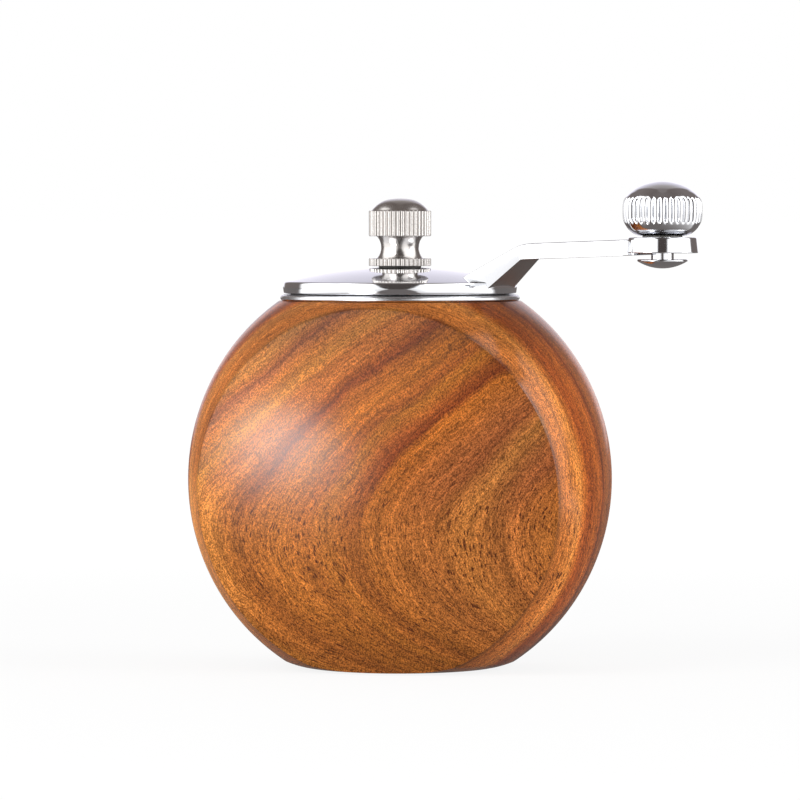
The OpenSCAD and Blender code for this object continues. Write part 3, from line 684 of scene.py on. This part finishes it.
def mask_underside(casting, material):
    """Gives the strap's slanting underside a finish of its own: rougher metal, with a darker tint as painted shade.
    """
    casting.data.materials.append(material)
    edit(casting)
    bpy.ops.mesh.select_mode(type="FACE")
    bpy.ops.mesh.select_all(action="DESELECT")
    mesh = bmesh.from_edit_mesh(casting.data)
    way = Vector((math.cos(CRANK_ANGLE), math.sin(CRANK_ANGLE), 0))
    for face in mesh.faces:
        middle = face.calc_center_median() / MM
        slanting = -0.85 < face.normal.z < -0.3 and face.normal.dot(way) > 0.3
        face.select_set(slanting and under_start[0] - 1 < middle.dot(way) < BEND_R and middle.z > LID_Z + 1)
    bmesh.update_edit_mesh(casting.data)
    print("unpolished faces:", sum(face.select for face in mesh.faces))
    casting.active_material_index = 1
    bpy.ops.object.material_slot_assign()
    bpy.ops.object.mode_set(mode="OBJECT")


coat_with(chrome_material("plated_casting", 0.06), lid)
# the darker tint under the strap is painted shade; its roughness is the unpolished metal's own
mask_underside(lid, chrome_material("unpolished_shaded_casting", 0.9, 0.45, "#9d9b9a"))
coat_with(chrome_material("plated_turning", 0.05), knob, screw)
coat_with(chrome_material("plated_knurling", 0.1, 0.2, "#bdb9b6"), finial)
coat_with(chrome_material("plated_spinning", 0.2, 0.22), collar)

# %% [markdown]
# ## Acacia, oiled and lacquered
# Acacia has a warm orange-brown heart with darker bands, one for each season's growth, and dark pores drawn out along
# the grain. The bands are layers through the block, nearly level with the cheeks, so the pattern depends on the place
# in it. A cheek was cut along the layers, and they cross it in wide, bent stripes. Round the side they are cut square
# and lie side by side, from the front crease to the back one. Low on the left the wood is lightened and has fewer
# pores, as painted light from the left. Painted shade darkens it towards the foot and the top, and along the crease.
# Oil deepens the colour, and a thin coat of lacquer gives a soft shine over it.

# %% Wood: the growth layers
BLOCK_H = 80.0           # height of the block in mm
EASED = {"interpolation_type": "SMOOTHSTEP"}   # for a Map Range that eases in and out
# (height, sideways) in mm: where one layer runs across the cheek
LAYER_BEND = [(0, 0.0), (5, -13.0), (10, -21.5), (15, -27.5), (20, -31.0), (27, -33.2), (33, -33.2), (38, -31.0),
              (43, -26.8), (50, -20.5), (58, -11.0), (68, 2.2), (80, 18.5)]
# (place across the layers in mm, colour) on the cheek
CHEEK_BANDS = [(-52, "#a85c20"), (-40, "#b4621f"), (-33, "#96481a"), (-29, "#bd7030"), (-24, "#bc7736"),
               (-21, "#ad652e"), (-18.5, "#8b4a27"), (-17.2, "#aa6131"), (-14, "#b96b2b"), (-9, "#c07830"),
               (-5, "#b5662a"), (-1, "#ba6a2c"), (2, "#9c501d"), (4.5, "#7d3b18"), (7, "#a2581f"), (13, "#ad621f"),
               (19, "#98501c"), (22, "#ab641f"), (26.5, "#8d4719"), (29.5, "#723312"), (32, "#a25a1e"),
               # the stops from 42 to 63 have their blue raised: band colour with a painted sheen in it
               (42, "#9a5629"), (47, "#894a25"), (53, "#a6672f"), (59, "#96552a"), (63, "#8f4d27"), (76, "#b0641f"),
               (90, "#92491a")]
# (depth behind the front crease in mm, colour) round the side
SIDE_BANDS = [(0, "#ad632c"), (2.5, "#bb6b2d"), (5.2, "#c97733"), (7.2, "#d18038"), (8.6, "#c06826"),
              (10.2, "#954718"), (12.3, "#9d4c19"), (14.8, "#b25c20"), (16.8, "#a1521e"), (18.2, "#632c10"),
              (19.2, "#84451d"), (21.0, "#93501f"), (23.4, "#8a4a1e"), (28, "#a0551f"), (31.5, "#b5662a"),
              (34, "#7d3b18"), (35.5, "#a2581f"), (40, "#bb7030"), (44, "#ad621f"), (47, "#8d4719"), (52, "#a86420")]
# (height in mm, tone): painted shade, lighter in the middle and darker towards the foot and the top
END_SHADE_TONES = [(0, 0.66), (6, 0.8), (15, 1.02), (34, 1.08), (58, 1.04), (65, 0.92), (71, 0.7), (78, 0.66)]
# (height in mm, pores passed along the fibres): many where the fibres dive into the surface, few where they run along
DIVE = [(0, 0), (12, 17), (19, 23), (40, 33), (48, 40), (80, 74)]


def wood_material():
    material, add, shader = new_material("oiled_acacia", IOR=1.5, Specular_IOR_Level=0.08, Coat_Weight=0.45,
                                         Coat_Roughness=0.15)
    mm = add("Mapping", add("TexCoord", out="Object"), Scale=(1 / MM,) * 3)
    x, y, z = (add("SeparateXYZ", mm, out=i) for i in range(3))
    rise = add("DIVIDE", z, BLOCK_H)

    # slow wavering over centimetres, and a little over millimetres
    slow = add("Mapping", mm, Scale=(1 / 22, 1 / 22, 1 / 34))
    slow = add("SUBTRACT", add("TexNoise", slow, Scale=1.0, Detail=1.0), 0.5)
    quick = add("Mapping", mm, Location=(7, 3, 1), Scale=(1 / 5, 1 / 5, 1 / 14))
    quick = add("SUBTRACT", add("TexNoise", quick, Scale=1.0, Detail=2.0), 0.5)

    # across the layers on a cheek; the far cheek is cut from another place in the block
    far = add("GREATER_THAN", y, 0.0)
    bend = [(height / BLOCK_H, (sideways + 40) / 60) for height, sideways in LAYER_BEND]   # a curve holds 0 to 1
    bend = add("MULTIPLY_ADD", add("FloatCurve", Value=rise, stops=bend), 60.0, -40.0)
    layer = add("MULTIPLY_ADD", far, -31.0, add("SUBTRACT", x, bend))
    layer = add("MULTIPLY_ADD", slow, 7.0, layer)
    layer = add("MULTIPLY_ADD", quick, 2.2, layer)
    low, high = CHEEK_BANDS[0][0], CHEEK_BANDS[-1][0]
    span = high - low
    turn = add("PINGPONG", add("SUBTRACT", layer, low), span)
    cheek = [((place - low) / span, code) for place, code in CHEEK_BANDS]
    cheek = add("ValToRGB", add("DIVIDE", turn, span), stops=cheek)

    # low down the fibres dive too steeply for the bands to show, and the cheek is nearly even
    dull = add("MapRange", z, 46.0, 26.0, To_Max=0.62, **EASED)
    cheek = add("Mix", dull, cheek, colour("#ab662b"), data_type="RGBA")

    # inwards from the nearer crease, and through the block from the front one
    lean = math.tan(CHEEK_LEAN)
    crease = add("MULTIPLY_ADD", z, lean, CHEEK_HALF - BALL_MID * lean)
    depth = add("SUBTRACT", crease, add("ABSOLUTE", y))
    deep = add("MULTIPLY_ADD", slow, 2.5, add("ADD", crease, y))
    deep = add("MULTIPLY_ADD", quick, 0.8, deep)
    deepest = SIDE_BANDS[-1][0]
    side = [(place / deepest, code) for place, code in SIDE_BANDS]
    side = add("ValToRGB", add("DIVIDE", deep, deepest), stops=side)
    round_side = add("MapRange", depth, 0.2, 1.4, **EASED)
    wood = add("Mix", round_side, cheek, side, data_type="RGBA")
    grain = add("Mix", round_side, layer, deep)

    # streaks along the layers: broad ones of 3 mm, and finer ones down to a few tenths
    for wide, long, weak, strong in ((3.0, 34, 0.74, 1.24), (0.8, 12, 0.71, 1.28), (0.3, 1.8, 0.61, 1.38)):
        along = add("CombineXYZ", add("MULTIPLY", grain, 1 / wide), add("MULTIPLY", z, 1 / long),
                    add("MULTIPLY", x, 0.6 / long))
        streak = add("TexNoise", along, Scale=1.0, Detail=3.0, Roughness=0.62)
        tone = add("MapRange", streak, 0.3, 0.7, weak, strong)
        wood = add("Mix", 1.0, wood, tone, data_type="RGBA", blend_type="MULTIPLY")

    # painted light: the lower left of the cheek is lightened, and has fewer pores
    left_light_patch = add("MULTIPLY_ADD", slow, 10.0, x)
    left_light_patch = add("MapRange", left_light_patch, -25.0, -37.0, **EASED)
    low_down = add("MapRange", z, 46.0, 35.0, **EASED)
    left_light_patch = add("MULTIPLY", left_light_patch, low_down)

    # pores: fine dashes all over, and a few bold ones
    most = DIVE[-1][1]
    passed = add("FloatCurve", Value=rise, stops=[(height / BLOCK_H, count / most) for height, count in DIVE])
    fade = add("MapRange", z, 54.0, 36.0, 0.35, 1.0)
    fade = add("MULTIPLY", fade, add("MapRange", left_light_patch, To_Min=1.0, To_Max=0.3))
    pores = 0.0
    for size, soft, dark, seed, patchy, shown in ((0.55, 0.32, 1.0, 0, (0.25, 0.5), 0.8),
                                                  (1.6, 0.24, 0.9, 9, (0.55, 0.62), 0.0)):
        cells = add("CombineXYZ", add("MULTIPLY", grain, 1 / size), add("MULTIPLY", passed, most * 0.62 / size))
        cells = add("Mapping", cells, Location=(seed, seed, seed))
        cell = add("TexVoronoi", cells, Scale=1.0, feature="F1", out="Distance")
        dash = add("MapRange", cell, 0.18, soft, dark, 0.0)
        patch = add("Mapping", mm, Location=(seed, 5, 3), Scale=(1 / 9, 1 / 9, 1 / 13))
        patch = add("TexNoise", patch, Scale=1.0, Detail=2.0)
        share = add("MapRange", patch, patchy[0], patchy[1], shown, 1.0)
        share = add("MULTIPLY", share, fade)
        pores = add("MAXIMUM", add("MULTIPLY", dash, share), pores)
    wood = add("Mix", pores, wood, colour("#4f240e"), data_type="RGBA")

    # painted shade: a thin dark line along the crease; then the fibres' own speckle
    line = add("ABSOLUTE", add("SUBTRACT", depth, 0.35))
    line = add("MapRange", line, 0.15, 0.5, 0.68, 1.0)
    fibre = add("Mapping", mm, Scale=(1 / 0.25, 1 / 0.25, 1 / 0.36))
    fibre = add("TexNoise", fibre, Scale=1.0, Detail=1.0)
    speckle = add("MapRange", fibre, 0.36, 0.64, 0.5, 1.46)
    # painted light low on the left: lighter and less orange
    painted_left_light = add("Mix", left_light_patch, (1.05, 1.07, 1.07, 1), (1.4, 1.62, 1.75, 1), data_type="RGBA")
    # painted shade towards the foot and the top
    ends = add("ValToRGB", rise, stops=[(height / BLOCK_H, (t, t, t, 1)) for height, t in END_SHADE_TONES])
    for tone in (line, speckle, painted_left_light, ends):
        wood = add("Mix", 1.0, wood, tone, data_type="RGBA", blend_type="MULTIPLY")

    bump = add("Bump", Strength=0.2, Distance=0.03 * MM, Height=fibre)
    rough = add("MapRange", pores, To_Min=0.34, To_Max=0.5)
    feed(shader, Base_Color=wood, Normal=bump, Roughness=rough)
    return material


coat_with(wood_material(), ball)

# %% [markdown]
# ## The working parts
# The mechanism shows when the lid is lifted or the mill is tipped over. Its parts keep the solids' shapes, and each
# gets the finish of its real material. All these finishes have a slow cloud of light and dark in their colour, and a
# fine grain that gives both their bump and their patches of shine.

# %% Moulded plastic
def clouded(add, place, code, size, dark, light):
    """A colour with a cloud in it, of a size in mm."""
    cloud = add("TexNoise", place, Scale=1 / (size * MM), Detail=3.0)
    tone = add("MapRange", cloud, 0.3, 0.7, dark, light)
    return add("Mix", 1.0, colour(code), tone, data_type="RGBA", blend_type="MULTIPLY")


def grained(add, shader, body, grain, deep, smooth, dull):
    """Feeds the shader a colour, and a grain as bump and as roughness from smooth to dull."""
    bump = add("Bump", Strength=deep, Distance=0.02 * MM, Height=grain)
    gloss = add("MapRange", grain, 0.3, 0.7, smooth, dull)
    feed(shader, Base_Color=body, Normal=bump, Roughness=gloss)


def moulded_material(name, code, rough, grain):
    """Moulded nylon or acetal: an even colour, and the fine matt grain of a spark-cut mould."""
    material, add, shader = new_material(name, IOR=1.5)
    place = add("TexCoord", out="Object")
    body = clouded(add, place, code, 5, 0.85, 1.2)
    spark = add("TexNoise", place, Scale=1 / (grain * MM), Detail=2.0)
    grained(add, shader, body, spark, 0.3, rough - 0.05, rough + 0.08)
    return material


def coat_nodes(material, *names):
    coat_with(material, *(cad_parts[name] for name in names))


coat_nodes(moulded_material("glass_filled_nylon", "#2b2a2a", 0.5, 0.3), "burr_housing", "drive_sleeve", "cone_core")
coat_nodes(moulded_material("black_acetal", "#242324", 0.4, 0.25), "glide_ring")
coat_nodes(moulded_material("grey_acetal", "#77746f", 0.4, 0.25), "finial_washer", "knob_washer")

# %% [markdown]
# Bare metal keeps the lines of the tool that made it: long and straight on rolled plate and drawn bar, and close and
# even on a screw. Sintered bronze is pressed from powder, so its grain is coarse and the same each way.

# %% Worked metal
def worked_material(name, code, rough, lines, deep):
    """Bare or thinly plated metal, with tool lines of a given (x, y, z) spacing in mm."""
    material, add, shader = new_material(name, Metallic=1.0)
    place = add("TexCoord", out="Object")
    line = add("Mapping", place, Scale=[1 / (s * MM) for s in lines])
    line = add("TexNoise", line, Scale=1.0, Detail=3.0)
    grained(add, shader, clouded(add, place, code, 4, 0.82, 1.08), line, deep, rough - 0.08, rough + 0.1)
    return material


coat_nodes(worked_material("rolled_stainless", "#c9c7c4", 0.28, (0.25, 12, 12), 0.25), "base_plate")
coat_nodes(worked_material("drawn_stainless", "#c6c4c1", 0.25, (0.25, 0.25, 15), 0.25), "drive_shaft", "cone_washer")
coat_nodes(worked_material("zinc_plated_steel", "#b9bfc6", 0.35, (0.5, 0.5, 0.2), 0.2), "base_screws", "cone_screw")
coat_nodes(worked_material("oiled_spring_steel", "#8c8984", 0.3, (0.3, 0.3, 0.3), 0.15), "burr_spring")
coat_nodes(worked_material("sintered_bronze", "#a9773f", 0.42, (0.22, 0.22, 0.22), 0.6), "bearing_bush")

# %% [markdown]
# The burrs are fired alumina, a hard off-white ceramic that neither rusts nor dulls. It is left unglazed, so it has
# only a faint sheen, and traces of other oxides show as tiny grey specks.

# %% Ceramic
def ceramic_material():
    material, add, shader = new_material("fired_alumina", IOR=1.76, Coat_Weight=0.2, Coat_Roughness=0.2)
    place = add("TexCoord", out="Object")
    cloud = add("TexNoise", place, Scale=1 / (3 * MM), Detail=4.0)
    body = add("ValToRGB", cloud, stops=[(0.3, "#dcd6c8"), (0.7, "#ece8de")])
    speck = add("TexVoronoi", place, Scale=1 / (0.9 * MM), feature="F1", out="Distance")
    speck = add("MapRange", speck, 0.08, 0.14, 0.5, 0.0)
    body = add("Mix", speck, body, colour("#8f887c"), data_type="RGBA")
    grain = add("TexNoise", place, Scale=1 / (0.2 * MM), Detail=2.0)
    grained(add, shader, body, grain, 0.3, 0.35, 0.5)
    return material


coat_nodes(ceramic_material(), "burr_ring", "burr_cone")

# %% [markdown]
# ## Camera
# A product like this is shot from far off with a long lens, so its verticals stay upright. The lens is worked out
# from the width that the frame covers at the mill's axis.

# %% Camera
CAM_FAR, CAM_UP, CAM_AIM = 1.2, 0.0998, 0.0567    # metres: how far and how high it stands, and how high it aims
CAM_TURN = math.radians(12.1)
FRAME_WIDE = 0.1698      # metres that the frame covers at the mill
SENSOR = 36              # millimetres
camera_data = bpy.data.cameras.new("camera")
camera_data.sensor_width = SENSOR
camera_data.lens = SENSOR * CAM_FAR / FRAME_WIDE
camera_data.clip_end = 50
camera = bpy.data.objects.new("camera", camera_data)
scene = bpy.context.scene
scene.collection.objects.link(camera)
camera.location = (CAM_FAR * math.sin(CAM_TURN), -CAM_FAR * math.cos(CAM_TURN), CAM_UP)
camera.rotation_euler = (Vector((0, 0, CAM_AIM)) - camera.location).to_track_quat("-Z", "Y").to_euler()
scene.camera = camera
print("lens", round(camera_data.lens, 1), "mm")

# %% [markdown]
# ## The studio
# Chrome shows the whole studio. Here two tall soft boxes stand left and right of the camera, and a white sweep rises
# behind the mill. The corners behind and the ceiling are unlit, and the gap between the boxes is darkest of all.
# Reflections see this plan in the world, as a function of direction. Wood and plastic are lit by a plain soft light.

# %% World
AMBIENT = 0.67                     # strength of the even light on all that isn't a mirror
BOX_GLOW, ROOM_GLOW = 2.2, 1.5     # how bright the boxes and the room are in a mirror
PLAN_TURN = CAM_TURN - math.radians(2.5)     # the boxes stand evenly round this direction
WHITE = (1, 1, 1, 1)
scene.view_settings.view_transform = "Standard"


def box_plan(add, way, rise):
    """Where the boxes stand in a direction: 1 on a box and 0 off it, their share of light, and the turn in degrees.

    Their inner edge leans outwards, their top falls towards the back, and their light grows away from the camera.
    """
    way = add("VectorRotate", Vector=way, Angle=-PLAN_TURN, rotation_type="Z_AXIS")
    side, back = (add("SeparateXYZ", way, out=i) for i in range(2))
    turn = add("DEGREES", add("ARCTAN2", add("ABSOLUTE", side), add("MULTIPLY", back, -1.0)))
    inner = add("SUBTRACT", turn, add("MULTIPLY_ADD", rise, 0.5, 8.5))
    outer = add("MULTIPLY_ADD", add("GREATER_THAN", side, 0.0), -7.0, add("MULTIPLY_ADD", rise, 0.25, 116.0))
    outer = add("SUBTRACT", outer, turn)
    head = add("SUBTRACT", add("MINIMUM", add("MULTIPLY_ADD", turn, -0.55, 121.0), 66.0), rise)
    boxes = 1.0
    for edge, soft in ((inner, 2.0), (outer, 9.0), (head, 4.0)):
        edge = add("MapRange", edge, From_Max=soft, **EASED)
        boxes = add("MULTIPLY", edge, boxes)
    return boxes, add("MapRange", turn, 8.0, 30.0, 0.46, 1.0), turn


def mirror_ray(add):
    """1 where a mirror or glass looks, and 0 for all other light."""
    glossy, through = (add("LightPath", out=f"Is {kind} Ray") for kind in ("Glossy", "Transmission"))
    return add("MAXIMUM", glossy, through)


def studio_world():
    world = bpy.data.worlds.new("studio")
    scene.world = world
    world.use_nodes = True
    world.node_tree.nodes.clear()
    add = partial(add_node, world.node_tree)
    way = add("TexCoord", out="Generated")
    rise = add("DEGREES", add("ARCSINE", add("SeparateXYZ", way, out=2)))
    boxes, share, turn = box_plan(add, way, rise)
    height = add("DIVIDE", rise, 90.0)
    room = add("ValToRGB", height, stops=[(0.0, "#6b6360"), (0.5, "#746c6a"), (0.8, "#675f5c"), (1.0, "#716a67")])
    sweep = add("ValToRGB", height, stops=[(0.0, "#eeecf3"), (0.14, "#dcd9e4"), (0.31, "#c5c2cd"),
                                           (0.5, "#a39e9d"), (0.75, "#7d7674"), (1.0, "#716a67")])
    behind = add("MapRange", turn, 156.0, 166.0, **EASED)
    shown = add("Mix", behind, room, sweep, data_type="RGBA")
    gap = add("MapRange", turn, 34.0, 20.0, **EASED)
    low = add("MapRange", rise, 70.0, 50.0, **EASED)
    gap = add("MULTIPLY", gap, low)
    shown = add("Mix", gap, shown, colour("#46403e"), data_type="RGBA")
    glow = add("MULTIPLY", share, BOX_GLOW)
    studio = add("MixShader", boxes, add("Background", shown, ROOM_GLOW), add("Background", WHITE, glow))
    mixed = add("MixShader", mirror_ray(add), add("Background", WHITE, AMBIENT), studio)
    mixed = add("MixShader", add("LightPath", out="Is Camera Ray"), mixed, add("Background", WHITE, 1.0))
    add("OutputWorld", mixed)


studio_world()
print("studio world of", len(scene.world.node_tree.nodes), "nodes")

# %% [markdown]
# The floor is a pale glossy sheet, whose gloss is painted. The camera sees it as almost pure white, with a little of
# its own shading left in, which keeps the mill's contact shadow. Farther out it turns wholly white, so there is no
# horizon. In reflections it glows with a painted reflection of the boxes, with a painted pool of light for the left
# one's brightest part.

# %% Floor
FLOOR_GLOW = 1.02        # just over white, so that the sheet's own faint shading doesn't grey it
# painted light: a pool of light on the floor that only reflections see
POOL = (-0.141, -0.312)  # middle of the pool of light, in metres
POOL_WIDE, POOL_LONG, POOL_TURN = 0.05, 0.24, 25     # its half widths in metres, and its turn in degrees
POOL_GLOW = 20.0
MIRROR_UP = 0.08         # metres: the mean height of what mirrors the floor


def floor_material():
    material, add, shader = new_material("white_sweep", Base_Color=colour("#d9d9d9"), Roughness=0.9)
    place = add("TexCoord", out="Object")
    away = add("VectorMath", place, operation="LENGTH", out="Value")
    fade = add("MapRange", away, 0.1, 0.5, 0.86, 1.0, **EASED)
    fade = add("MULTIPLY", add("LightPath", out="Is Camera Ray"), fade)
    seen = add("MixShader", fade, shader.outputs[0], add("Emission", WHITE, FLOOR_GLOW))
    # painted reflection of the boxes, an emission seen only by mirror rays
    rise = add("ARCTANGENT", add("DIVIDE", MIRROR_UP, away))
    boxes, share, _ = box_plan(add, place, add("DEGREES", rise))
    near = add("MapRange", away, 0.07, 0.3, **EASED)
    bright = add("MULTIPLY", add("MULTIPLY", boxes, near), share)
    tone = add("ValToRGB", bright, stops=[(0.0, "#7f7977"), (1.0, "#ffffff")])
    strength = add("MapRange", bright, To_Min=1.0, To_Max=1.9)
    # the painted pool of light
    pool = add("Mapping", place, Location=(-POOL[0], -POOL[1], 0))
    pool = add("VectorRotate", Vector=pool, Angle=math.radians(POOL_TURN), rotation_type="Z_AXIS")
    pool = add("Mapping", pool, Scale=(1 / POOL_WIDE, 1 / POOL_LONG, 0))
    pool = add("VectorMath", pool, operation="LENGTH", out="Value")
    pool = add("MapRange", pool, 1.3, 0.2, To_Max=POOL_GLOW, **EASED)
    strength = add("ADD", strength, pool)
    seen = add("MixShader", mirror_ray(add), seen, add("Emission", tone, strength))
    feed(material.node_tree.nodes["Material Output"], Surface=seen)
    return material


bpy.ops.object.select_all(action="DESELECT")
bpy.ops.mesh.primitive_plane_add(size=40, location=(0, 0, -0.0002))
floor = bpy.context.active_object
floor.name = "floor"
floor.data.materials.append(floor_material())
print("floor", round(floor.dimensions.x), "m wide")

# %% [markdown]
# Two lamps stand where the boxes do. They shape the wood and the plastic with soft light, and leave mirrors alone.

# %% Soft boxes
LAMP_AIM = 0.05          # the height in metres that the lamps aim at


def soft_box(name, turn, up, far, wide, tall, power):
    """A soft box, turned so many degrees round the mill from the camera, at a height and a distance in metres."""
    data = bpy.data.lights.new(name, "AREA")
    data.shape = "RECTANGLE"
    data.size, data.size_y, data.energy = wide, tall, power
    data.specular_factor = 0.0          # mirrors see the boxes in the world
    lamp = bpy.data.objects.new(name, data)
    scene.collection.objects.link(lamp)
    a = CAM_TURN + math.radians(turn)
    lamp.location = (far * math.sin(a), -far * math.cos(a), up)
    lamp.rotation_euler = (Vector((0, 0, LAMP_AIM)) - lamp.location).to_track_quat("-Z", "Y").to_euler()
    print(name, "of", power, "W at", [round(v, 2) for v in lamp.location], "m")


soft_box("left_box", -50, 0.5, 0.8, 0.5, 0.7, 5.0)
soft_box("right_box", 75, 0.4, 0.9, 0.4, 0.7, 5.0)
